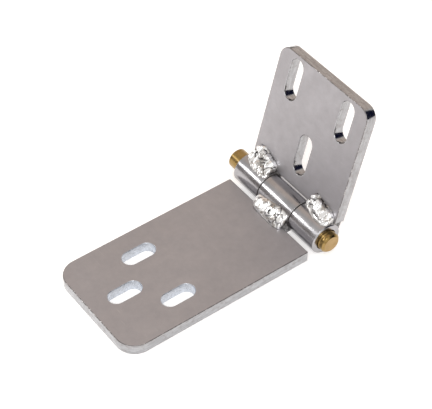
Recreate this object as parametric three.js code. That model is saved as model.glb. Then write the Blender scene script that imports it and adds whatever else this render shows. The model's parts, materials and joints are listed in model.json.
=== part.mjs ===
// Hinged roof anchor: a slotted base plate and a shorter slotted upright plate, joined by a three-knuckle
// barrel on a plain brass pin. Millimetres, +Z up, +X along the hinge. The origin is the middle of the
// base plate's underside. The centre knuckle and the pin belong to the base, the outer knuckles to the
// upright. Each leaf is drawn in its own frame, whose origin is on the pin's axis: x along the pin,
// y out along the plate, z towards the side that faces the other leaf.
import * as THREE from "three";
import { mergeVertices } from "three/addons/utils/BufferGeometryUtils.js";

// Angle of the upright back from the vertical as it stands, in degrees.
const LEAN = 14.7;

// Plates.
const PLATE_THICKNESS = 9.7;
const BASE_WIDTH = 101.6;
const BASE_LENGTH = 169.2;
const UPRIGHT_WIDTH = 103.2;
const UPRIGHT_LENGTH = 104.8;
const BASE_CORNER = 16.6;
const UPRIGHT_CORNER = 10.5;
const HINGE_CORNER = 1.0;
const EDGE_BREAK = 0.4;

// Bolt slots, all alike in width. Each plate has a row of two side by side and a single one on its middle
// line, placed by their centres' distances from the hinge edge.
const SLOT_WIDTH = 14.0;
const BASE_SLOTS = { length: 29.0, halfSpacing: 26.5, row: 107.2, single: 138.1 };
const UPRIGHT_SLOTS = { length: 36.6, halfSpacing: 30.4, row: 83.0, single: 31.1 };

// Barrel and pin.
const BARREL_RADIUS = 13.6;
const BORE_RADIUS = 8.95;
const PIN_RADIUS = 8.6;
const BARREL_HALF = 51.2;
const CENTRE_HALF = 19.45;
const KNUCKLE_GAP = 0.5;
const KNUCKLE_CHAMFER = 0.7;
const PIN_LEFT = -64.6;
const PIN_RIGHT = 57.8;
const PIN_CHAMFER = 0.9;
const ROUND_SEGMENTS = 72;

// From the barrel to each plate's hinge edge.
const BASE_EDGE_GAP = 3.6;
const UPRIGHT_EDGE_GAP = 0.4;

// Between a weld bead and the pieces that it joins.
const FIT_GAP = 0.3;

// Inner weld beads: reach over each plate, angle round the barrel to their other edge, height of the
// crown, the share of it that dips between ripples, and the ripples' pitch.
const BASE_WELD_LEG = 6.0;
const UPRIGHT_WELD_LEG = 8.0;
const WELD_TOE_ANGLE = 38;
const WELD_CROWN = 2.2;
const WELD_RIPPLE = 0.4;
const WELD_RIPPLE_PITCH = 5.2;
const WELD_END_LENGTH = 4.0;
const WELD_STEP = 1.3;
const WELD_INSET = 0.9;

// Level where an inner bead ends and a rear bead begins, and the rear beads' height and angle.
const ROOT_LEVEL = -8.0;
const REAR_WELD_RISE = 0.8;
const REAR_WELD_ANGLE = -62;
const REAR_WELD_DIP = -1.0;

const zinc = new THREE.MeshStandardMaterial({ color: 0xa39a95, roughness: 0.38, metalness: 0.9 });
const brightZinc = new THREE.MeshStandardMaterial({ color: 0xb9b5b4, roughness: 0.22, metalness: 0.95 });
const brass = new THREE.MeshStandardMaterial({ color: 0xb08a48, roughness: 0.3, metalness: 0.95 });
const weldMetal = new THREE.MeshStandardMaterial({ color: 0xd6d6d6, roughness: 0.3, metalness: 0.9 });

const radians = THREE.MathUtils.degToRad;
const innerFace = PLATE_THICKNESS - BARREL_RADIUS;
const outerFace = -BARREL_RADIUS;
const baseEdge = BARREL_RADIUS + BASE_EDGE_GAP;
const uprightEdge = BARREL_RADIUS + UPRIGHT_EDGE_GAP;

// A geometry with only positions and shared corners, which is what a closed solid needs.
function closed(geometry) {
  geometry.deleteAttribute("normal");
  geometry.deleteAttribute("uv");
  const merged = mergeVertices(geometry, 1e-4);
  merged.computeVertexNormals();
  return merged;
}

function mesh(name, geometry, material) {
  const made = new THREE.Mesh(closed(geometry), material);
  made.name = name;
  return made;
}

// A rounded rectangle from the hinge edge outwards, with small corners at the hinge and large ones beyond.
function plateOutline(width, start, length, farCorner) {
  const half = width / 2;
  const end = start + length;
  const outline = new THREE.Shape();
  outline.moveTo(-half + HINGE_CORNER, start);
  outline.lineTo(half - HINGE_CORNER, start);
  outline.absarc(half - HINGE_CORNER, start + HINGE_CORNER, HINGE_CORNER, -Math.PI / 2, 0, false);
  outline.lineTo(half, end - farCorner);
  outline.absarc(half - farCorner, end - farCorner, farCorner, 0, Math.PI / 2, false);
  outline.lineTo(-half + farCorner, end);
  outline.absarc(-half + farCorner, end - farCorner, farCorner, Math.PI / 2, Math.PI, false);
  outline.lineTo(-half, start + HINGE_CORNER);
  outline.absarc(-half + HINGE_CORNER, start + HINGE_CORNER, HINGE_CORNER, Math.PI, 1.5 * Math.PI, false);
  return outline;
}

// A round-ended slot whose length runs out along the plate, drawn at the wide end of its edge break.
function slotPath(x, y, length) {
  const radius = SLOT_WIDTH / 2 + EDGE_BREAK;
  const reach = (length - SLOT_WIDTH) / 2;
  const slot = new THREE.Path();
  slot.absarc(x, y + reach, radius, 0, Math.PI, false);
  slot.absarc(x, y - reach, radius, Math.PI, 2 * Math.PI, false);
  slot.closePath();
  return slot;
}

function slottedPlate(width, edge, length, farCorner, slots) {
  // The bevel grows the outline, so the outline is drawn smaller by the edge break.
  const drawn = plateOutline(
    width - 2 * EDGE_BREAK,
    edge + EDGE_BREAK,
    length - 2 * EDGE_BREAK,
    farCorner - EDGE_BREAK,
  );
  const places = [
    [-slots.halfSpacing, slots.row],
    [slots.halfSpacing, slots.row],
    [0, slots.single],
  ];
  drawn.holes = places.map(([x, y]) => slotPath(x, edge + y, slots.length));
  const plate = new THREE.ExtrudeGeometry(drawn, {
    depth: PLATE_THICKNESS - 2 * EDGE_BREAK,
    curveSegments: 10,
    bevelSize: EDGE_BREAK,
    bevelThickness: EDGE_BREAK,
    bevelSegments: 1,
  });
  return plate.translate(0, 0, outerFace + EDGE_BREAK);
}

// Turns a lathe's axis from +Y to +X.
function alongX(geometry) {
  return geometry.rotateZ(-Math.PI / 2);
}

function knuckle(from, to) {
  const profile = [
    [BORE_RADIUS, from],
    [BARREL_RADIUS - KNUCKLE_CHAMFER, from],
    [BARREL_RADIUS, from + KNUCKLE_CHAMFER],
    [BARREL_RADIUS, to - KNUCKLE_CHAMFER],
    [BARREL_RADIUS - KNUCKLE_CHAMFER, to],
    [BORE_RADIUS, to],
    [BORE_RADIUS, from],
  ].map(([r, h]) => new THREE.Vector2(r, h));
  return alongX(new THREE.LatheGeometry(profile, ROUND_SEGMENTS));
}

function pin() {
  const profile = [
    [0, PIN_LEFT],
    [PIN_RADIUS - PIN_CHAMFER, PIN_LEFT],
    [PIN_RADIUS, PIN_LEFT + PIN_CHAMFER],
    [PIN_RADIUS, PIN_RIGHT - PIN_CHAMFER],
    [PIN_RADIUS - PIN_CHAMFER, PIN_RIGHT],
    [0, PIN_RIGHT],
  ].map(([r, h]) => new THREE.Vector2(r, h));
  return alongX(new THREE.LatheGeometry(profile, ROUND_SEGMENTS));
}

// A point on the weld's side of the barrel, a fit gap off its surface, at an angle from the plate.
function onBarrel(angle) {
  const radius = BARREL_RADIUS + FIT_GAP;
  return new THREE.Vector2(radius * Math.cos(angle), radius * Math.sin(angle));
}

// Points from one barrel angle to another.
function barrelArc(from, to, count) {
  return Array.from({ length: count + 1 }, (_, i) => onBarrel(from + ((to - from) * i) / count));
}

// Bead section in the corner between a plate's inner face and the barrel. It fills the gap at the
// plate's hinge edge down to the root level where that gap is open.
function frontSection(edge, leg) {
  const radius = BARREL_RADIUS + FIT_GAP;
  const level = innerFace + FIT_GAP;
  const root = edge - FIT_GAP > radius ? ROOT_LEVEL : level;
  const points = [new THREE.Vector2(edge + leg, level)];
  if (root < level) {
    points.push(new THREE.Vector2(edge - FIT_GAP, level));
    points.push(new THREE.Vector2(edge - FIT_GAP, root));
  }
  points.push(...barrelArc(Math.asin(root / radius), radians(WELD_TOE_ANGLE), 8));
  return { points, toe: onBarrel(radians(WELD_TOE_ANGLE)), heel: points[0] };
}

// Bead section in the groove between a plate's hinge edge and the barrel on the outer side. It stays
// inside the plane of the plate's outer face, so that the plate still beds flat.
function rearSection(edge) {
  const radius = BARREL_RADIUS + FIT_GAP;
  const side = edge - FIT_GAP;
  const root = ROOT_LEVEL - FIT_GAP;
  const points = barrelArc(radians(REAR_WELD_ANGLE), Math.asin(root / radius), 6);
  points.push(new THREE.Vector2(side, root));
  points.push(new THREE.Vector2(side, outerFace + REAR_WELD_RISE));
  return { points, toe: points[points.length - 1], heel: points[0] };
}

// The crown of a bead: a curve from its toe to its heel that stands proud by the given height.
function crown(toe, heel, height, count) {
  const along = heel.clone().sub(toe);
  const outwards = new THREE.Vector2(-along.y, along.x).normalize();
  const points = [];
  for (let i = 1; i < count; i += 1) {
    const t = i / count;
    const rise = height * Math.sin(Math.PI * t);
    points.push(toe.clone().addScaledVector(along, t).addScaledVector(outwards, rise));
  }
  return points;
}

// How full the bead is at a distance from its ends: rounded off at each end, rippled between.
function beadRise(x, length) {
  const fromEnd = Math.max(Math.min(x, length - x), 0);
  const end = Math.sqrt(Math.min(fromEnd / WELD_END_LENGTH, 1));
  const ripple = Math.abs(Math.cos((Math.PI * x) / WELD_RIPPLE_PITCH));
  return { end, ripple };
}

// Sweeps a bead section along the hinge and lets its crown rise and fall with the ripples.
function weldBead(section, from, to, height, ripple) {
  const length = to - from;
  const outside = crown(section.toe, section.heel, height, 7);
  const chord = section.heel.clone().sub(section.toe);
  const outwards = new THREE.Vector2(-chord.y, chord.x).normalize();
  const shape = new THREE.Shape([...section.points, ...outside]);
  const bead = new THREE.ExtrudeGeometry(shape, {
    depth: length,
    steps: Math.round(length / WELD_STEP),
    bevelEnabled: false,
  });
  const place = bead.getAttribute("position");
  const point = new THREE.Vector2();
  for (let i = 0; i < place.count; i += 1) {
    point.set(place.getX(i), place.getY(i));
    const proud = point.clone().sub(section.toe).dot(outwards);
    if (proud > 1e-3) {
      const rise = beadRise(place.getZ(i), length);
      const scale = rise.end * (1 - ripple * rise.ripple);
      point.addScaledVector(outwards, proud * (scale - 1));
    }
    // The section's plane becomes y and z, and the sweep runs along x.
    place.setXYZ(i, from + place.getZ(i), point.x, point.y);
  }
  return bead;
}

const anchor = new THREE.Group();
const baseLeaf = new THREE.Group();
const uprightLeaf = new THREE.Group();
anchor.add(baseLeaf, uprightLeaf);

const axisY = BASE_LENGTH / 2 + baseEdge;
baseLeaf.position.set(0, axisY, BARREL_RADIUS);
baseLeaf.rotation.z = Math.PI;
uprightLeaf.position.set(0, axisY, BARREL_RADIUS);
uprightLeaf.rotation.x = radians(90 - LEAN);

baseLeaf.add(
  mesh("base_plate", slottedPlate(BASE_WIDTH, baseEdge, BASE_LENGTH, BASE_CORNER, BASE_SLOTS), zinc),
  mesh("centre_knuckle", knuckle(-CENTRE_HALF, CENTRE_HALF), brightZinc),
);
// The pin's two ends differ, so it is placed straight in the anchor's frame.
const hingePin = mesh("hinge_pin", pin(), brass);
hingePin.position.copy(baseLeaf.position);
anchor.add(hingePin);

const outerFrom = CENTRE_HALF + KNUCKLE_GAP;
uprightLeaf.add(
  mesh(
    "upright_plate",
    slottedPlate(UPRIGHT_WIDTH, uprightEdge, UPRIGHT_LENGTH, UPRIGHT_CORNER, UPRIGHT_SLOTS),
    zinc,
  ),
  mesh("left_knuckle", knuckle(-BARREL_HALF, -outerFrom), brightZinc),
  mesh("right_knuckle", knuckle(outerFrom, BARREL_HALF), brightZinc),
);

// One bead on the inner side and one on the outer side of every knuckle.
function addWelds(leaf, name, edge, leg, knuckleFrom, knuckleTo) {
  const from = knuckleFrom + WELD_INSET;
  const to = knuckleTo - WELD_INSET;
  const front = weldBead(frontSection(edge, leg), from, to, WELD_CROWN, WELD_RIPPLE);
  const rear = weldBead(rearSection(edge), from, to, REAR_WELD_DIP, 0);
  leaf.add(mesh(`${name}_weld`, front, weldMetal));
  leaf.add(mesh(`${name}_rear_weld`, rear, weldMetal));
}
addWelds(baseLeaf, "centre", baseEdge, BASE_WELD_LEG, -CENTRE_HALF, CENTRE_HALF);
addWelds(uprightLeaf, "left", uprightEdge, UPRIGHT_WELD_LEG, -BARREL_HALF, -outerFrom);
addWelds(uprightLeaf, "right", uprightEdge, UPRIGHT_WELD_LEG, outerFrom, BARREL_HALF);

export default anchor;
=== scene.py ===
"""Looks of the hinged roof anchor: every CAD node gets a finely modelled piece and a procedural finish.

Each leaf is drawn in its own frame on the pin's axis, as in the CAD: x along the pin, y out along the
plate, z towards the side that faces the other leaf. Lengths are in metres.
"""

import json
import math
import random

import bpy
from mathutils import Matrix, Vector, noise
from mathutils.geometry import tessellate_polygon


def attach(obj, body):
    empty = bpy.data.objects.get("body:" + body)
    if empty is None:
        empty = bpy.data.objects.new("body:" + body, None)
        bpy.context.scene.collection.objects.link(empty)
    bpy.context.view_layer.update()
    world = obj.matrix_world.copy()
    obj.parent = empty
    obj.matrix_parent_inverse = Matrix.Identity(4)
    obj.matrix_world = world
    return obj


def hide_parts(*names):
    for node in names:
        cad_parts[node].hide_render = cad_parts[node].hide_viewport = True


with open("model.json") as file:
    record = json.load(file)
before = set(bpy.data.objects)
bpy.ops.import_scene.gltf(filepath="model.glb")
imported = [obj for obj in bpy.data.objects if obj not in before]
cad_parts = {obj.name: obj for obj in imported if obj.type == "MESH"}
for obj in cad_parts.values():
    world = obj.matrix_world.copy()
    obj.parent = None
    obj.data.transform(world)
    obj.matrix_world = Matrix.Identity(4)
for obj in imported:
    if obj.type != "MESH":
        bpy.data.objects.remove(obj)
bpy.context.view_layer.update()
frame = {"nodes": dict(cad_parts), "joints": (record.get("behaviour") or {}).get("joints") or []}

# mathutils.noise takes its seed from the clock until it is given one.
NOISE_SEED = 1
noise.seed_set(NOISE_SEED)

MM = 0.001

# How far the photographed upright leans back from square to the base.
LEAN = math.radians(14.7)

# Plate details that the frame's boxes don't give. A slot row lies at its distance from the hinge edge.
BASE_CORNER = 16.6 * MM
UPRIGHT_CORNER = 10.5 * MM
HINGE_CORNER = 1.0 * MM
LEAST_CORNER = 0.1 * MM
SLOT_WIDTH = 14.0 * MM
BASE_SLOTS = {"length": 29.0 * MM, "half_spacing": 26.5 * MM, "row": 107.2 * MM, "single": 138.1 * MM}
UPRIGHT_SLOTS = {"length": 36.6 * MM, "half_spacing": 30.4 * MM, "row": 83.0 * MM, "single": 31.1 * MM}
EDGE_ROUND = 0.55 * MM
ARC_STEPS = 20
HINGE_ARC_STEPS = 5
EDGE_STEPS = 4

# Places of a plate's finishes in its list of materials.
ON_FACE, ON_EDGE, ON_RIM, ON_SLOT = range(4)

# Barrel and pin. A band of a knuckle within the joint depth of its joint end is grimy. The pin's shown end
# is the one whose face the photograph shows, at the base leaf's low x.
BORE_RADIUS = 8.95 * MM
BORE_CHAMFER = 0.5 * MM
INNER_CHAMFER = 0.4 * MM
OUTER_CHAMFER = 0.8 * MM
KNUCKLE_ROUND = 0.12 * MM
JOINT_DEPTH = 0.75 * INNER_CHAMFER
PIN_CHAMFER = 0.9 * MM
PIN_SHOWN_CHAMFER = 1.6 * MM
PIN_GROOVE_PLACE = 4.3 * MM
PIN_GROOVE_WIDTH = 1.2 * MM
PIN_GROOVE_DEPTH = 0.4 * MM
PIN_ROUND = 0.15 * MM
TURNED_STEPS = 192
ROUND_STEPS = 4

# Camera: where it looks from, at what, and how far away. The lens and the sensor are in millimetres.
CAMERA_AZIMUTH = math.radians(53.45)
CAMERA_ELEVATION = math.radians(45.53)
CAMERA_AIM = Vector((-25.7, 51.7, 20.0)) * MM
CAMERA_DISTANCE = 1.2283
CAMERA_LENS = 129.05
CAMERA_SENSOR = 36.0

BASE_BODY = "base_leaf"
UPRIGHT_BODY = "upright_leaf"
pin_axis = Vector(frame["joints"][0]["pos_m"])
LEAVES = {
    BASE_BODY: Matrix.Translation(pin_axis) @ Matrix.Rotation(math.pi, 4, "Z"),
    UPRIGHT_BODY: Matrix.Translation(pin_axis) @ Matrix.Rotation(math.pi / 2 - LEAN, 4, "X"),
}

# Vertex attributes: a piece's coordinates in its leaf's frame, and how deep in a crease a weld's point is,
# which sets the painted shade there.
LEAF_PLACE = "leaf_place"
CREASE = "crease"


def leaf_extent(node, body):
    """Lowest and highest corner of a CAD node in its leaf's frame."""
    back = LEAVES[body].inverted()
    points = [back @ v.co for v in frame["nodes"][node].data.vertices]
    low = Vector(min(p[i] for p in points) for i in range(3))
    high = Vector(max(p[i] for p in points) for i in range(3))
    return low, high


BARREL_RADIUS = leaf_extent("centre_knuckle", BASE_BODY)[1].z


# ---------------------------------------------------------------- materials

# Linear colours of the finishes. Noise mixes the two tones of a pair.
PLATE_TONES = ((0.432, 0.421, 0.439, 1.0), (0.474, 0.463, 0.484, 1.0))
PLATE_MOTTLE = (0.405, 0.388, 0.400, 1.0)
PLATE_SCRATCH = (0.75, 0.75, 0.75, 1.0)
EDGE_TONES = ((0.355, 0.357, 0.368, 1.0), (0.445, 0.45, 0.465, 1.0))
EDGE_SPECKLE = (0.27, 0.245, 0.245, 1.0)
# Base slot walls: brighter and bluer than the cut sides, a painted reflection of the floor.
SLOT_TONES = ((0.45, 0.475, 0.52, 1.0), (0.61, 0.645, 0.70, 1.0))
# Rims: the darker tone is a painted dark reflection along the rounded edges; the lighter tone makes small
# bright nicks.
RIM_TONES = ((0.20, 0.19, 0.19, 1.0), (0.58, 0.57, 0.57, 1.0))
BARREL_TONES = ((0.365, 0.36, 0.372, 1.0), (0.45, 0.445, 0.46, 1.0))
GRIME_TONES = ((0.05, 0.045, 0.04, 1.0), (0.14, 0.125, 0.11, 1.0))
BRASS_TONES = ((0.29, 0.19, 0.065, 1.0), (0.38, 0.265, 0.11, 1.0))
BRASS_FACE_TONES = ((0.37, 0.25, 0.11, 1.0), (0.47, 0.33, 0.165, 1.0))
WELD_TONES = ((0.95, 0.95, 0.95, 1.0), (0.483, 0.46, 0.437, 1.0))
# The colour of the painted shade in a weld's creases and along its toes and ends.
WELD_PAINTED_SHADE = (0.035, 0.03, 0.03, 1.0)
FACING_PITCH = 0.6 * MM


class Finish:
    """A metal and short calls that add nodes to it. An input is a value or another node's output."""

    def __init__(self, name):
        self.material = bpy.data.materials.new(name)
        self.material.use_nodes = True
        self.tree = self.material.node_tree
        self.shader = self.tree.nodes["Principled BSDF"]
        self.place = self.node("ShaderNodeAttribute", {}, "Vector", attribute_name=LEAF_PLACE)

    def node(self, kind, inputs, output=0, **settings):
        made = self.tree.nodes.new(kind)
        for key, value in settings.items():
            setattr(made, key, value)
        for key, value in inputs.items():
            self.feed(made.inputs[key], value)
        return made.outputs[output]

    def feed(self, socket, value):
        if isinstance(value, bpy.types.NodeSocket):
            self.tree.links.new(value, socket)
        else:
            socket.default_value = value

    def metal(self, tone, rough, bump):
        """Feeds the shader and gives back the finished material."""
        self.feed(self.shader.inputs["Base Color"], tone)
        self.feed(self.shader.inputs["Metallic"], 1.0)
        self.feed(self.shader.inputs["Roughness"], rough)
        self.feed(self.shader.inputs["Normal"], bump)
        return self.material

    def stretched(self, x, y, z):
        """The leaf's coordinates, each times its own number of noise cells in a metre."""
        return self.node("ShaderNodeMapping", {"Vector": self.place, "Scale": (x, y, z)})

    def noise(self, cells, detail, vector=None, distortion=0.0, roughness=0.5):
        """Noise round 0.5, with this many cells in a metre, or in each unit of a vector that is given."""
        inputs = {
            "Vector": vector or self.place,
            "Scale": cells,
            "Detail": detail,
            "Distortion": distortion,
            "Roughness": roughness,
        }
        return self.node("ShaderNodeTexNoise", inputs)

    def remap(self, value, low, high, to_low=0.0, to_high=1.0):
        """Turns low..high into to_low..to_high, and clips the rest."""
        inputs = {"Value": value, "From Min": low, "From Max": high, "To Min": to_low, "To Max": to_high}
        return self.node("ShaderNodeMapRange", inputs)

    def math(self, operation, a, b=0.0):
        return self.node("ShaderNodeMath", {0: a, 1: b}, operation=operation)

    def mix(self, factor, a, b):
        """A colour between a, at factor 0, and b, at factor 1."""
        made = self.tree.nodes.new("ShaderNodeMix")
        made.data_type = "RGBA"
        below, above = [socket for socket in made.inputs if socket.type == "RGBA"]
        self.feed(made.inputs["Factor"], factor)
        self.feed(below, a)
        self.feed(above, b)
        return next(socket for socket in made.outputs if socket.type == "RGBA")

    def bump(self, height, strength, distance, normal=None):
        """A bump of this height, laid over the normal that is given."""
        inputs = {"Height": height, "Strength": strength, "Distance": distance}
        if normal is not None:
            inputs["Normal"] = normal
        return self.node("ShaderNodeBump", inputs)


def plate_finish():
    """Zinc plating over hot-rolled plate: satin, faintly mottled, with rolling grain and fine scratches."""
    f = Finish("plate_zinc")
    cloud = f.noise(16.0, 4.0, distortion=0.4)
    mottle = f.noise(120.0, 6.0, roughness=0.65)
    grain = f.noise(1.0, 5.0, f.stretched(1500.0, 160.0, 1500.0))
    pits = f.noise(1900.0, 3.0)
    scratch = f.remap(f.noise(1.0, 2.0, f.stretched(60.0, 2600.0, 60.0), distortion=0.3), 0.70, 0.74)
    tone = f.mix(f.remap(cloud, 0.35, 0.65), *PLATE_TONES)
    tone = f.mix(f.remap(mottle, 0.3, 0.75, 0.0, 0.55), tone, PLATE_MOTTLE)
    tone = f.mix(f.math("MULTIPLY", scratch, 0.35), tone, PLATE_SCRATCH)
    rough = f.remap(mottle, 0.25, 0.75, 0.46, 0.60)
    bump = f.bump(grain, 0.12, 0.25 * MM)
    return f.metal(tone, rough, f.bump(pits, 0.10, 0.12 * MM, bump))


def edge_finish():
    """The plates' cut sides: sheared streaks through the thickness, and dark speckles on bright plating."""
    f = Finish("plate_edge_zinc")
    streak = f.noise(1.0, 4.0, f.stretched(900.0, 900.0, 70.0))
    band = f.noise(1.0, 5.0, f.stretched(90.0, 90.0, 520.0), distortion=0.6)
    mottle = f.noise(320.0, 5.0, roughness=0.65)
    tone = f.mix(f.remap(band, 0.38, 0.62), *EDGE_TONES)
    tone = f.mix(f.remap(mottle, 0.50, 0.66, 0.0, 0.60), tone, EDGE_SPECKLE)
    rough = f.remap(mottle, 0.3, 0.7, 0.09, 0.24)
    bump = f.bump(streak, 0.10, 0.2 * MM)
    return f.metal(tone, rough, f.bump(mottle, 0.05, 0.2 * MM, bump))


def slot_finish():
    """The base slots' punched walls: bright bluish plating, a painted reflection of the floor, with faint
    drag lines through the thickness.
    """
    f = Finish("slot_wall_zinc")
    drag = f.noise(1.0, 4.0, f.stretched(700.0, 700.0, 60.0))
    mottle = f.noise(300.0, 5.0, roughness=0.65)
    tone = f.mix(f.remap(mottle, 0.35, 0.65), *SLOT_TONES)
    rough = f.remap(mottle, 0.3, 0.7, 0.22, 0.38)
    bump = f.bump(drag, 0.10, 0.2 * MM)
    return f.metal(tone, rough, f.bump(mottle, 0.10, 0.2 * MM, bump))


def rim_finish():
    """The plates' rounded rims: darker, a painted dark reflection along the edges, with small bright nicks.
    """
    f = Finish("plate_rim_zinc")
    nick = f.noise(420.0, 4.0, roughness=0.7)
    tone = f.mix(f.remap(nick, 0.50, 0.66), *RIM_TONES)
    rough = f.remap(nick, 0.3, 0.7, 0.38, 0.20)
    return f.metal(tone, rough, f.bump(nick, 0.15, 0.2 * MM))


def barrel_finish():
    """Bright zinc on drawn tube: smooth, with fine draw lines along it and faint turning marks round it."""
    f = Finish("barrel_zinc")
    draw = f.noise(1.0, 4.0, f.stretched(45.0, 1400.0, 1400.0))
    turn = f.noise(1.0, 3.0, f.stretched(3200.0, 60.0, 60.0))
    cloud = f.noise(70.0, 4.0)
    tone = f.mix(f.remap(cloud, 0.35, 0.7), *BARREL_TONES)
    rough = f.remap(cloud, 0.3, 0.7, 0.17, 0.28)
    bump = f.bump(draw, 0.10, 0.2 * MM)
    return f.metal(tone, rough, f.bump(turn, 0.05, 0.1 * MM, bump))


def joint_finish():
    """The sawn faces where two knuckles meet: bare, darkened by grease and grime."""
    f = Finish("joint_grime")
    cloud = f.noise(600.0, 5.0)
    tone = f.mix(f.remap(cloud, 0.35, 0.7), *GRIME_TONES)
    rough = f.remap(cloud, 0.3, 0.7, 0.45, 0.65)
    return f.metal(tone, rough, f.bump(cloud, 0.2, 0.2 * MM))


def brass_finish():
    """Drawn brass rod: warm, slightly tarnished, with draw lines along it."""
    f = Finish("pin_brass")
    cloud = f.noise(110.0, 5.0, roughness=0.6)
    draw = f.noise(1.0, 3.0, f.stretched(60.0, 1500.0, 1500.0))
    tone = f.mix(f.remap(cloud, 0.35, 0.7), *BRASS_TONES)
    rough = f.remap(cloud, 0.3, 0.75, 0.22, 0.36)
    return f.metal(tone, rough, f.bump(draw, 0.12, 0.2 * MM))


def brass_face_finish():
    """The pin's end faces: fine rings from facing on a lathe."""
    f = Finish("pin_face_brass")
    from_axis = f.stretched(0.0, 1.0, 1.0)
    spread = f.node("ShaderNodeVectorMath", {0: from_axis}, "Value", operation="LENGTH")
    rings = f.math("SINE", f.math("MULTIPLY", spread, 2 * math.pi / FACING_PITCH))
    cloud = f.noise(170.0, 4.0)
    tone = f.mix(f.remap(cloud, 0.35, 0.7), *BRASS_FACE_TONES)
    rough = f.remap(cloud, 0.3, 0.7, 0.32, 0.45)
    return f.metal(tone, rough, f.bump(rings, 0.10, 0.05 * MM))


def weld_finish():
    """Plated weld metal: bright with grey patches, rougher in the creases between its scales, and darkened
    there and along its toes and ends by painted shade.
    """
    f = Finish("weld_metal")
    crease = f.node("ShaderNodeAttribute", {}, "Fac", attribute_name=CREASE)
    fine = f.noise(600.0, 4.0, roughness=0.6)
    patch = f.noise(120.0, 4.0, roughness=0.6)
    tone = f.mix(f.remap(patch, 0.53, 0.60), *WELD_TONES)
    # Painted shade: the crease attribute darkens creases, toes and ends towards the shade colour.
    painted_shade = f.math("MULTIPLY", crease, f.remap(fine, 0.35, 0.55, 0.65, 1.0))
    tone = f.mix(painted_shade, tone, WELD_PAINTED_SHADE)
    rough = f.math("ADD", f.remap(fine, 0.3, 0.7, 0.14, 0.26), f.math("MULTIPLY", crease, 0.2))
    return f.metal(tone, rough, f.bump(fine, 0.04, 0.3 * MM))


PLATE = plate_finish()
EDGE = edge_finish()
SLOT = slot_finish()
RIM = rim_finish()
BARREL = barrel_finish()
BRASS = brass_finish()
BRASS_FACE = brass_face_finish()
WELD = weld_finish()
JOINT = joint_finish()


# ---------------------------------------------------------------- pieces


def add_piece(name, node, body, vertices, faces, materials, finish_of=None, flat=()):
    """Makes a piece in its leaf's frame, standing for a CAD node and riding on that node's body."""
    data = bpy.data.meshes.new(name)
    data.from_pydata([LEAVES[body] @ Vector(v) for v in vertices], [], faces)
    place = data.attributes.new(LEAF_PLACE, "FLOAT_VECTOR", "POINT")
    place.data.foreach_set("vector", [value for v in vertices for value in v])
    for material in materials:
        data.materials.append(material)
    data.shade_smooth()
    for index in flat:
        data.polygons[index].use_smooth = False
    if finish_of:
        for polygon, finish in zip(data.polygons, finish_of):
            polygon.material_index = finish
    piece = bpy.data.objects.new(name, data)
    bpy.context.scene.collection.objects.link(piece)
    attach(piece, body)
    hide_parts(node)
    return piece


def arc(centre_x, centre_y, radius, start, end, steps):
    """Points along a part of a circle, from one angle to another."""
    turn = [start + (end - start) * i / steps for i in range(steps + 1)]
    return [(centre_x + radius * math.cos(a), centre_y + radius * math.sin(a)) for a in turn]


def plate_loop(low, high, far_corner, inset):
    """The plate's outline moved in by inset, anticlockwise from its hinge edge."""
    near = max(HINGE_CORNER - inset, LEAST_CORNER)
    far = far_corner - inset
    x0, y0 = low.x + inset, low.y + inset
    x1, y1 = high.x - inset, high.y - inset
    quarter = math.pi / 2
    return (
        arc(x1 - near, y0 + near, near, -quarter, 0, HINGE_ARC_STEPS)
        + arc(x1 - far, y1 - far, far, 0, quarter, ARC_STEPS)
        + arc(x0 + far, y1 - far, far, quarter, 2 * quarter, ARC_STEPS)
        + arc(x0 + near, y0 + near, near, 2 * quarter, 3 * quarter, HINGE_ARC_STEPS)
    )


def slot_loop(x, y, length, inset):
    """A slot's outline grown by inset, clockwise, so that its wall faces into the slot."""
    radius = SLOT_WIDTH / 2 + inset
    reach = (length - SLOT_WIDTH) / 2
    top = arc(x, y + reach, radius, 0, math.pi, ARC_STEPS)
    bottom = arc(x, y - reach, radius, math.pi, 2 * math.pi, ARC_STEPS)
    return (top + bottom)[::-1]


def edge_profile(low, high):
    """(inset, height) steps round both rounded edges of a plate, from its lower to its upper face."""
    quarter = [math.pi / 2 * i / EDGE_STEPS for i in range(EDGE_STEPS + 1)]
    lower = [(EDGE_ROUND * (1 - math.sin(a)), low + EDGE_ROUND * (1 - math.cos(a))) for a in quarter]
    upper = [(inset, high - (height - low)) for inset, height in reversed(lower)]
    return lower + upper


def make_plate(name, node, body, far_corner, slots, slot_walls):
    """A plate with rounded edges and three slots: each outline is swept up one profile, then capped."""
    low, high = leaf_extent(node, body)
    profile = edge_profile(low.z, high.z)
    places = [
        (-slots["half_spacing"], slots["row"]),
        (slots["half_spacing"], slots["row"]),
        (0.0, slots["single"]),
    ]
    levels = []
    for inset, _ in profile:
        holes = [slot_loop(x, low.y + y, slots["length"], inset) for x, y in places]
        levels.append([plate_loop(low, high, far_corner, inset)] + holes)

    vertices, faces, finish_of, flat, starts = [], [], [], [], []
    for number, outline in enumerate(levels[0]):
        count = len(outline)
        starts.append(len(vertices))
        for level, (_, height) in zip(levels, profile):
            vertices += [(x, y, height) for x, y in level[number]]
        for ring in range(len(profile) - 1):
            outside = ON_EDGE if ring == EDGE_STEPS else ON_RIM
            for i in range(count):
                a = starts[number] + ring * count + i
                b = starts[number] + ring * count + (i + 1) % count
                faces.append((a, b, b + count, a + count))
                finish_of.append(outside if number == 0 else ON_SLOT)

    for top in (False, True):
        ring = len(profile) - 1 if top else 0
        rims = []
        for start, outline in zip(starts, levels[0]):
            first = start + ring * len(outline)
            rims.append(list(range(first, first + len(outline))))
        corners = [i for rim in rims for i in rim]
        for triangle in tessellate_polygon([[Vector(vertices[i]) for i in rim] for rim in rims]):
            face = [corners[i] for i in triangle]
            a, b, c = (Vector(vertices[i]) for i in face)
            if ((b - a).cross(c - a).z > 0) != top:
                face.reverse()
            flat.append(len(faces))
            faces.append(face)
            finish_of.append(ON_FACE)
    materials = [PLATE, EDGE, RIM, slot_walls]
    add_piece(name, node, body, vertices, faces, materials, finish_of, flat)


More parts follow.
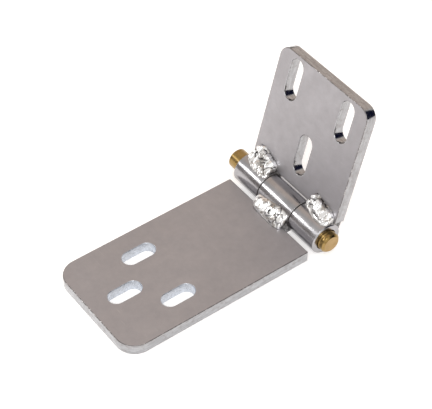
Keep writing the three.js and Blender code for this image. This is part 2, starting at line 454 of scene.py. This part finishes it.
def turned(profile, closed):
    """A (radius, x) profile turned about the pin's axis: vertices, faces and each face's band."""
    vertices, rows = [], []
    for radius, x in profile:
        if radius == 0.0:
            rows.append([len(vertices)])
            vertices.append((x, 0.0, 0.0))
            continue
        rows.append(list(range(len(vertices), len(vertices) + TURNED_STEPS)))
        for i in range(TURNED_STEPS):
            a = 2 * math.pi * i / TURNED_STEPS
            vertices.append((x, radius * math.cos(a), radius * math.sin(a)))
    pairs = list(zip(rows, rows[1:]))
    if closed:
        pairs.append((rows[-1], rows[0]))
    faces, bands = [], []
    for band, (a, b) in enumerate(pairs):
        for i in range(TURNED_STEPS):
            j = (i + 1) % TURNED_STEPS
            if len(a) == 1:
                faces.append((a[0], b[j], b[i]))
            elif len(b) == 1:
                faces.append((a[i], a[j], b[0]))
            else:
                faces.append((a[i], a[j], b[j], b[i]))
            bands.append(band)
    return vertices, faces, bands


def rounded(corners, radius):
    """A (radius, x) outline with each of its corners replaced by a small arc-like curve."""
    points = []
    for i, corner in enumerate(corners):
        before = Vector(corners[i - 1]) - Vector(corner)
        after = Vector(corners[(i + 1) % len(corners)]) - Vector(corner)
        start = Vector(corner) + before.normalized() * radius
        end = Vector(corner) + after.normalized() * radius
        for k in range(ROUND_STEPS + 1):
            t = k / ROUND_STEPS
            bend = start.lerp(Vector(corner), t).lerp(Vector(corner).lerp(end, t), t)
            points.append(tuple(bend))
    return points


def make_knuckle(name, node, body, left_chamfer, right_chamfer):
    """A length of tube. An end with the inner chamfer meets another knuckle, and its face is grimy."""
    low, high = leaf_extent(node, body)
    outer = high.z
    corners = [
        (BORE_RADIUS, low.x + BORE_CHAMFER),
        (BORE_RADIUS + BORE_CHAMFER, low.x),
        (outer - left_chamfer, low.x),
        (outer, low.x + left_chamfer),
        (outer, high.x - right_chamfer),
        (outer - right_chamfer, high.x),
        (BORE_RADIUS + BORE_CHAMFER, high.x),
        (BORE_RADIUS, high.x - BORE_CHAMFER),
    ]
    profile = rounded(corners, KNUCKLE_ROUND)
    vertices, faces, bands = turned(profile, True)
    ends = [(left_chamfer, low.x), (right_chamfer, high.x)]
    joints = [x for chamfer, x in ends if chamfer == INNER_CHAMFER]

    def at_joint(band):
        a, b = profile[band], profile[(band + 1) % len(profile)]
        return any(abs((a[1] + b[1]) / 2 - x) < JOINT_DEPTH for x in joints)

    finish_of = [int(at_joint(band)) for band in bands]
    add_piece(name, node, body, vertices, faces, [BARREL, JOINT], finish_of)


def make_pin():
    """The brass rod. Its shown end has a larger chamfer and a turned groove."""
    low, high = leaf_extent("hinge_pin", BASE_BODY)
    radius = high.z
    groove_start = low.x + PIN_GROOVE_PLACE
    groove_end = groove_start + PIN_GROOVE_WIDTH
    ends = [(0.0, low.x), (0.0, high.x)]
    corners = [
        ends[0],
        (radius - PIN_SHOWN_CHAMFER, low.x),
        (radius, low.x + PIN_SHOWN_CHAMFER),
        (radius, groove_start),
        (radius - PIN_GROOVE_DEPTH, groove_start + PIN_GROOVE_DEPTH),
        (radius - PIN_GROOVE_DEPTH, groove_end - PIN_GROOVE_DEPTH),
        (radius, groove_end),
        (radius, high.x - PIN_CHAMFER),
        (radius - PIN_CHAMFER, high.x),
        ends[1],
    ]
    corner_points = ROUND_STEPS + 1
    side = rounded(corners, PIN_ROUND)[corner_points:-corner_points]
    profile = [ends[0]] + side + [ends[1]]
    vertices, faces, bands = turned(profile, False)
    faced = [band in (0, len(profile) - 2) for band in bands]
    finish_of = [int(is_faced) for is_faced in faced]
    flat = [i for i, is_faced in enumerate(faced) if is_faced]
    metals = [BRASS, BRASS_FACE]
    add_piece("hinge_pin_rod", "hinge_pin", BASE_BODY, vertices, faces, metals, finish_of, flat)


# ---------------------------------------------------------------- welds

# Front beads, from the low end of the leaf's x to the high end: how far each reaches over its plate (mm),
# how far it climbs round the barrel (degrees), and its main scales of weld metal. A scale is its place
# along and across the bead as shares of both, then its radius and its height in mm. A pit's height is
# below zero. Where two scales meet, the higher one overlaps the other.
FRONT_WELDS = {
    "centre": {
        "body": BASE_BODY,
        "plate": "base_plate",
        "reach": [4.5, 6.0, 6.2, 5.8, 5.2, 3.0],
        "climb": [30, 33, 31, 27, 20, 14],
        "scales": [
            (0.77, 0.50, 6.6, 1.30), (0.45, 0.46, 4.3, 1.55), (0.42, 0.52, 1.9, -1.50),
            (0.27, 0.72, 2.8, 1.35), (0.25, 0.26, 2.4, 1.25), (0.12, 0.48, 3.4, 1.10),
            (0.03, 0.75, 2.2, 0.80),
        ],
        "seed": 3,
    },
    "left": {
        "body": UPRIGHT_BODY,
        "plate": "upright_plate",
        "reach": [5.5, 12.0, 12.5, 10.0, 8.5, 5.5],
        "climb": [16, 30, 42, 46, 46, 40],
        "scales": [
            (0.17, 0.80, 4.6, 1.90), (0.08, 0.40, 2.8, 1.10), (0.27, 0.44, 2.3, -1.60),
            (0.46, 0.72, 3.4, 1.60), (0.62, 0.80, 3.6, 1.85), (0.80, 0.66, 5.0, 2.05),
            (0.93, 0.36, 3.4, 1.40), (0.52, 0.26, 3.6, 0.60), (0.72, 0.22, 3.4, 0.75),
            (0.36, 0.10, 1.6, 0.60),
        ],
        "seed": 5,
    },
    "right": {
        "body": UPRIGHT_BODY,
        "plate": "upright_plate",
        "reach": [8.0, 13.0, 11.0, 10.0, 9.0, 5.5],
        "climb": [8, 14, 22, 28, 28, 20],
        "scales": [
            (0.12, 0.80, 4.4, 2.10), (0.20, 0.46, 2.5, 1.35), (0.07, 0.30, 2.2, 0.90),
            (0.43, 0.60, 5.0, 2.30), (0.58, 0.58, 4.9, 1.85), (0.71, 0.56, 4.9, 1.50),
            (0.84, 0.54, 4.8, 1.20), (0.97, 0.50, 3.2, 0.90),
        ],
        "seed": 8,
    },
}
WELD_ALONG = 230
WELD_ACROSS = 72

# A bead's section: how far its toes and its root sink into the metal, and where the root lies.
TOE_SINK = 0.15 * MM
WELD_SINK = 1.1 * MM
WELD_ROOT = -8.2 * MM
FRONT_ROOT_INSET = 0.6 * MM
REAR_ROOT_INSET = 0.2 * MM
REAR_CLIMB = math.radians(-62)
REAR_RISE = 1.5 * MM

# A bead's rounded ends: how long they are, and how much of a front bead's reach is left at the very end.
END_LENGTH = 2.0 * MM
END_SHARE = 0.35

# Uneven toes: waves in the length of a bead, their depth, and the noise rows that they are read from.
WAVES = 9.0
WAVE_DEPTH = 0.10
REACH_ROW = 0.0
CLIMB_ROW = 5.0
WAVE_SEED_STEP = 2.3

# Surface: the crown that the whole bead swells to, the grain on it, and the form of its scales.
FRONT_CROWN = 1.0 * MM
REAR_CROWN = 0.1 * MM
SWELL_POWER = 4
GRAIN_HEIGHT = 0.014 * MM
GRAIN_PER_MM = 0.5
GRAIN_ROUGHNESS = 1.2
GRAIN_LACUNARITY = 2.0
GRAIN_OCTAVES = 4
FOOT_STEEPNESS = 2.0
SCALE_STRETCH = 1.3
SCALE_PLATEAU = 0.55
SCALE_DOME = 0.12
SCALE_WARP = 0.8 * MM
WARP_PER_MM = 0.28
SEED_STEPS = (3.1, 1.7, 0.9)
SMALL_PLACE_ACROSS = (0.1, 0.75)
SMALL_RADIUS_MM = (1.0, 1.9)
SMALL_HEIGHT_TO_RADIUS = (0.3, 0.5)
FRONT_SMALL_SCALES = 3
REAR_SMALL_SCALES = 12
REAR_SMALL_HEIGHT = 0.4

# Rear beads are guessed: plain ripples of nearly even size.
RIPPLE_PITCH = 3.4 * MM
RIPPLE_JITTER = 0.15
RIPPLE_MIDDLE = (0.42, 0.58)
RIPPLE_RADIUS_MM = (4.2, 5.0)
RIPPLE_HEIGHT = 0.55 * MM
REAR_SEED_STEP = 20

# Painted shade: in creases, by how far below their surroundings they lie, and along the toes and the ends.
CREASE_ALONG = 0.6 * MM
CREASE_ACROSS = 1.15 * MM
CREASE_DEPTH = 0.15 * MM
CREASE_START = 0.15
TOE_PAINTED_SHADE = 0.85
TOE_PAINTED_SHADE_WIDTH = 1.3 * MM
END_PAINTED_SHADE_WIDTH = 0.7 * MM


def eased(share):
    """A smooth step from 0 to 1."""
    return share * share * (3 - 2 * share)


def end_rise(x, length):
    """A quarter circle from 0 at either end of a bead to 1 where its rounded end stops."""
    end = min(min(x, length - x) / END_LENGTH, 1)
    return math.sqrt(max(1 - (1 - end) ** 2, 0.0))


def along_list(values, share):
    """A value read off a list spread evenly from 0 to 1, with smooth steps between its entries."""
    place = min(max(share, 0.0), 1.0) * (len(values) - 1)
    index = min(int(place), len(values) - 2)
    return values[index] + (values[index + 1] - values[index]) * eased(place - index)


def small_scales(rng, count, length, width):
    """Seeded little scales over a bead."""
    made = []
    for _ in range(count):
        x, y = rng.uniform(0, length), rng.uniform(*SMALL_PLACE_ACROSS) * width
        radius = rng.uniform(*SMALL_RADIUS_MM) * MM
        made.append((x, y, radius, radius * rng.uniform(*SMALL_HEIGHT_TO_RADIUS)))
    return made


def scale_height(x, y, scales):
    """Height over a bead's mean surface: the highest scale there, less any pits."""
    top, pits = 0.0, 0.0
    for middle_x, middle_y, radius, height in scales:
        distance = math.hypot((x - middle_x) / radius, (y - middle_y) / (radius * SCALE_STRETCH))
        if distance >= 1:
            continue
        fall = max(distance - SCALE_PLATEAU, 0.0) / (1 - SCALE_PLATEAU)
        level = (1 - eased(fall)) * (1 - SCALE_DOME * distance * distance)
        if height < 0:
            pits += height * level
        else:
            top = max(top, height * level)
    return top + pits


def weld_creases(heights, along_step, across_step):
    """How deep each point of a grid of heights lies below its surroundings, from 0 to 1."""
    last_row, last_column = len(heights) - 1, len(heights[0]) - 1
    along, across = round(CREASE_ALONG / along_step), round(CREASE_ACROSS / across_step)
    creases = []
    for i in range(last_row + 1):
        for j in range(last_column + 1):
            sides = [heights[min(i + along, last_row)][j], heights[i][min(j + across, last_column)]]
            sides += [heights[max(i - along, 0)][j], heights[i][max(j - across, 0)]]
            depth = sum(sides) / 4 - heights[i][j]
            creases.append(min(max(depth / CREASE_DEPTH - CREASE_START, 0.0), 1.0))
    return creases


def bead_faces(ring):
    """Faces of a closed bead whose sections are rings of this many points."""
    faces = []
    for i in range(WELD_ALONG):
        for j in range(ring):
            a = i * ring + j
            b = i * ring + (j + 1) % ring
            faces.append((a, b, b + ring, a + ring))
    faces.append(tuple(reversed(range(ring))))
    faces.append(tuple(WELD_ALONG * ring + j for j in range(ring)))
    return faces


def make_bead(node, body, span, section, scales, crown, seed):
    """A closed bead swept along x. section(share) gives its toe on the barrel, heel, way out and root."""
    length = span[1] - span[0]
    offset = Vector([seed * step for step in SEED_STEPS])
    vertices, heights = [], []
    for i in range(WELD_ALONG + 1):
        x = length * (i / WELD_ALONG)
        toe, heel, out, root = section(i / WELD_ALONG)
        chord = heel - toe
        row = []
        for j in range(WELD_ACROSS + 1):
            t = j / WELD_ACROSS
            y = t * chord.length
            foot = min(math.sin(math.pi * t) * FOOT_STEEPNESS, 1.0)
            place = Vector((x / MM, y / MM, 0.0))
            grain_place = place * GRAIN_PER_MM + offset
            grain = noise.fractal(grain_place, GRAIN_ROUGHNESS, GRAIN_LACUNARITY, GRAIN_OCTAVES)
            warp = noise.noise_vector(place * WARP_PER_MM + offset) * SCALE_WARP
            lump = scale_height(x + warp.x, y + warp.y, scales)
            swell = 1 - (2 * t - 1) ** SWELL_POWER
            height = end_rise(x, length) * (crown * swell + foot * lump) + foot * GRAIN_HEIGHT * grain
            row.append(height)
            point = toe + chord * t + out * height
            vertices.append((span[0] + x, point.x, point.y))
        heights.append(row)
        vertices += [(span[0] + x, p.x, p.y) for p in root]

    toe, heel, out, root = section(0.5)
    ring = WELD_ACROSS + 1 + len(root)
    faces = bead_faces(ring)
    if out.y > 0:
        faces = [face[::-1] for face in faces]
    piece = add_piece(f"{node}_bead", node, body, vertices, faces, [WELD])

    along_step, across_step = length / WELD_ALONG, (heel - toe).length / WELD_ACROSS
    creases = weld_creases(heights, along_step, across_step)
    # Painted shade at each point: its crease depth, or darker towards the toes and the rounded ends.
    shade = piece.data.attributes.new(CREASE, "FLOAT", "POINT")
    for i in range(WELD_ALONG + 1):
        for j in range(ring):
            from_end = min(i, WELD_ALONG - i) * along_step / END_PAINTED_SHADE_WIDTH
            from_toe = min(j, WELD_ACROSS - j) * across_step / TOE_PAINTED_SHADE_WIDTH
            painted_shade = TOE_PAINTED_SHADE * (1 - min(max(min(from_end, from_toe), 0.0), 1.0))
            crease = creases[i * (WELD_ACROSS + 1) + j] if j <= WELD_ACROSS else 0.0
            shade.data[i * ring + j].value = max(crease, painted_shade)


def on_barrel(radius, angle):
    """A point of a section (y, z) at an angle from the leaf's y round the pin."""
    return Vector((radius * math.cos(angle), radius * math.sin(angle)))


def make_front_weld(side, plan):
    """A bead in the corner between the inner face of a plate and the barrel."""
    node, body, seed = f"{side}_weld", plan["body"], plan["seed"]
    low, high = leaf_extent(node, body)
    plate_low, plate_high = leaf_extent(plan["plate"], body)
    length = high.x - low.x
    edge, face_level = plate_low.y, plate_high.z

    def wave(share, row):
        return 1 + WAVE_DEPTH * noise.noise(Vector((share * WAVES + seed * WAVE_SEED_STEP, row, 0.0)))

    def section(share):
        shrink = END_SHARE + (1 - END_SHARE) * end_rise(share * length, length)
        reach = along_list(plan["reach"], share) * MM * shrink * wave(share, REACH_ROW)
        climb = math.radians(along_list(plan["climb"], share)) * shrink * wave(share, CLIMB_ROW)
        toe = on_barrel(BARREL_RADIUS - TOE_SINK, climb)
        heel = Vector((edge + reach, face_level - TOE_SINK))
        out = Vector((toe.y - heel.y, heel.x - toe.x)).normalized()
        inner = BARREL_RADIUS - WELD_SINK
        root = [
            Vector((heel.x, face_level - WELD_SINK)),
            Vector((edge + FRONT_ROOT_INSET, face_level - WELD_SINK)),
            Vector((edge + FRONT_ROOT_INSET, WELD_ROOT)),
            on_barrel(inner, math.asin(WELD_ROOT / inner)),
            on_barrel(inner, climb),
        ]
        return toe, heel, out, root

    width = (section(0.5)[1] - section(0.5)[0]).length
    scales = [(x * length, y * width, r * MM, h * MM) for x, y, r, h in plan["scales"]]
    scales += small_scales(random.Random(seed), FRONT_SMALL_SCALES, length, width)
    make_bead(node, body, (low.x, high.x), section, scales, FRONT_CROWN, seed)


def make_rear_weld(side, body, plate, seed):
    """A bead in the groove between the barrel and the edge of a plate, below the plate's outer face."""
    node = f"{side}_rear_weld"
    low, high = leaf_extent(node, body)
    plate_low, _ = leaf_extent(plate, body)
    length = high.x - low.x
    toe = on_barrel(BARREL_RADIUS - TOE_SINK, REAR_CLIMB)
    heel = Vector((plate_low.y + REAR_ROOT_INSET, plate_low.z + REAR_RISE))
    out = Vector((heel.y - toe.y, toe.x - heel.x)).normalized()
    inner = BARREL_RADIUS - WELD_SINK
    root = [
        Vector((heel.x, WELD_ROOT)),
        on_barrel(inner, math.asin(WELD_ROOT / inner)),
        on_barrel(inner, REAR_CLIMB),
    ]

    def section(_):
        return toe, heel, out, root

    width = (heel - toe).length
    rng = random.Random(seed)
    scales = []
    for i in range(int(length / RIPPLE_PITCH) + 1):
        x = (i + rng.uniform(-RIPPLE_JITTER, RIPPLE_JITTER)) * RIPPLE_PITCH
        y = width * rng.uniform(*RIPPLE_MIDDLE)
        scales.append((x, y, rng.uniform(*RIPPLE_RADIUS_MM) * MM, RIPPLE_HEIGHT))
    for x, y, radius, height in small_scales(rng, REAR_SMALL_SCALES, length, width):
        scales.append((x, y, radius, height * REAR_SMALL_HEIGHT))
    make_bead(node, body, (low.x, high.x), section, scales, REAR_CROWN, seed)


make_plate("base_plate_steel", "base_plate", BASE_BODY, BASE_CORNER, BASE_SLOTS, SLOT)
make_plate("upright_plate_steel", "upright_plate", UPRIGHT_BODY, UPRIGHT_CORNER, UPRIGHT_SLOTS, EDGE)
make_knuckle("centre_knuckle_tube", "centre_knuckle", BASE_BODY, INNER_CHAMFER, INNER_CHAMFER)
make_knuckle("left_knuckle_tube", "left_knuckle", UPRIGHT_BODY, OUTER_CHAMFER, INNER_CHAMFER)
make_knuckle("right_knuckle_tube", "right_knuckle", UPRIGHT_BODY, INNER_CHAMFER, OUTER_CHAMFER)
make_pin()
for side, plan in FRONT_WELDS.items():
    make_front_weld(side, plan)
    make_rear_weld(side, plan["body"], plan["plate"], plan["seed"] + REAR_SEED_STEP)


# ---------------------------------------------------------------- stage


FLOOR_REACH = 6.0
FLOOR_DROP = 0.2 * MM
FLOOR_TONE = (0.95, 0.94, 0.93, 1.0)
FLOOR_GLOW = (1.0, 0.98, 0.97, 1.0)
FLOOR_GLOW_STRENGTH = 0.40

# Soft square lights: the direction from the pin, the distance and the side in metres, and the power in
# watts. The fill comes from the camera's side.
LIGHTS = [
    ("key", (-0.563, -0.635, 0.53), 1.4, 0.24, 1.7),
    ("camera_fill", (0.563, -0.417, 0.714), 1.5, 0.45, 6.0),
]


def make_floor():
    """White paper that glows a little, so that it stays white under the anchor's slots."""
    corners = [(-1, -1), (1, -1), (1, 1), (-1, 1)]
    data = bpy.data.meshes.new("floor")
    vertices = [(x * FLOOR_REACH, y * FLOOR_REACH, -FLOOR_DROP) for x, y in corners]
    data.from_pydata(vertices, [], [(0, 1, 2, 3)])
    floor = bpy.data.objects.new("floor", data)
    bpy.context.scene.collection.objects.link(floor)
    material = bpy.data.materials.new("floor_paper")
    material.use_nodes = True
    shader = material.node_tree.nodes["Principled BSDF"]
    shader.inputs["Base Color"].default_value = FLOOR_TONE
    shader.inputs["Emission Color"].default_value = FLOOR_GLOW
    shader.inputs["Emission Strength"].default_value = FLOOR_GLOW_STRENGTH
    shader.inputs["Roughness"].default_value = 0.9
    shader.inputs["Specular IOR Level"].default_value = 0.1
    data.materials.append(material)


def add_light(name, direction, distance, side, power):
    """A soft square light in a direction from the pin, turned to face it."""
    data = bpy.data.lights.new(name, "AREA")
    data.shape = "SQUARE"
    data.size = side
    data.energy = power
    light = bpy.data.objects.new(name, data)
    towards = Vector(direction).normalized()
    light.location = pin_axis + towards * distance
    light.rotation_euler = towards.to_track_quat("Z", "Y").to_euler()
    bpy.context.scene.collection.objects.link(light)


# The studio round the anchor: a warm pale grey, and round patches laid over it in this order. A patch is
# the direction of its middle, the angles from there at which it starts and ends to fade, and its colour.
STUDIO_TONE = (0.74, 0.72, 0.70, 1.0)
STUDIO_PATCHES = [
    ("ceiling softbox", (0.56, -0.42, 0.71), 22, 40, (1.3, 1.3, 1.3, 1.0)),
    ("warm back wall", (-0.60, 0.52, 0.60), 30, 52, (0.88, 0.755, 0.665, 1.0)),
    ("dark front wall", (-0.58, -0.78, 0.22), 10, 22, (0.30, 0.27, 0.255, 1.0)),
    ("dark left wall", (-0.93, 0.36, 0.04), 16, 30, (0.07, 0.065, 0.065, 1.0)),
    ("dark doorway", (0.60, 0.69, 0.38), 27, 30, (0.008, 0.010, 0.035, 1.0)),
]


def make_world():
    """The studio's tone with its patches laid over it."""
    world = bpy.data.worlds.new("studio")
    bpy.context.scene.world = world
    world.use_nodes = True
    nodes, links = world.node_tree.nodes, world.node_tree.links
    background = nodes["Background"]
    direction = nodes.new("ShaderNodeTexCoord").outputs["Generated"]
    tone = None
    for _, towards, fade_start, fade_end, colour in STUDIO_PATCHES:
        dot = nodes.new("ShaderNodeVectorMath")
        dot.operation = "DOT_PRODUCT"
        links.new(direction, dot.inputs[0])
        dot.inputs[1].default_value = Vector(towards).normalized()
        fade = nodes.new("ShaderNodeMapRange")
        fade.interpolation_type = "SMOOTHSTEP"
        fade.inputs["From Min"].default_value = math.cos(math.radians(fade_end))
        fade.inputs["From Max"].default_value = math.cos(math.radians(fade_start))
        links.new(dot.outputs["Value"], fade.inputs["Value"])
        mix = nodes.new("ShaderNodeMix")
        mix.data_type = "RGBA"
        below, above = [socket for socket in mix.inputs if socket.type == "RGBA"]
        links.new(fade.outputs["Result"], mix.inputs["Factor"])
        if tone is None:
            below.default_value = STUDIO_TONE
        else:
            links.new(tone, below)
        above.default_value = colour
        tone = next(socket for socket in mix.outputs if socket.type == "RGBA")
    links.new(tone, background.inputs["Color"])


def make_camera():
    """The photograph's camera: it looks down at the anchor from the front right."""
    data = bpy.data.cameras.new("camera")
    data.lens = CAMERA_LENS
    data.sensor_width = CAMERA_SENSOR
    camera = bpy.data.objects.new("camera", data)
    back = Vector(
        (
            math.sin(CAMERA_AZIMUTH) * math.cos(CAMERA_ELEVATION),
            -math.cos(CAMERA_AZIMUTH) * math.cos(CAMERA_ELEVATION),
            math.sin(CAMERA_ELEVATION),
        )
    )
    camera.location = CAMERA_AIM + back * CAMERA_DISTANCE
    camera.rotation_euler = back.to_track_quat("Z", "Y").to_euler()
    bpy.context.scene.collection.objects.link(camera)
    bpy.context.scene.camera = camera


make_floor()
make_world()
make_camera()
for light in LIGHTS:
    add_light(*light)
bpy.context.scene.view_settings.view_transform = "Standard"
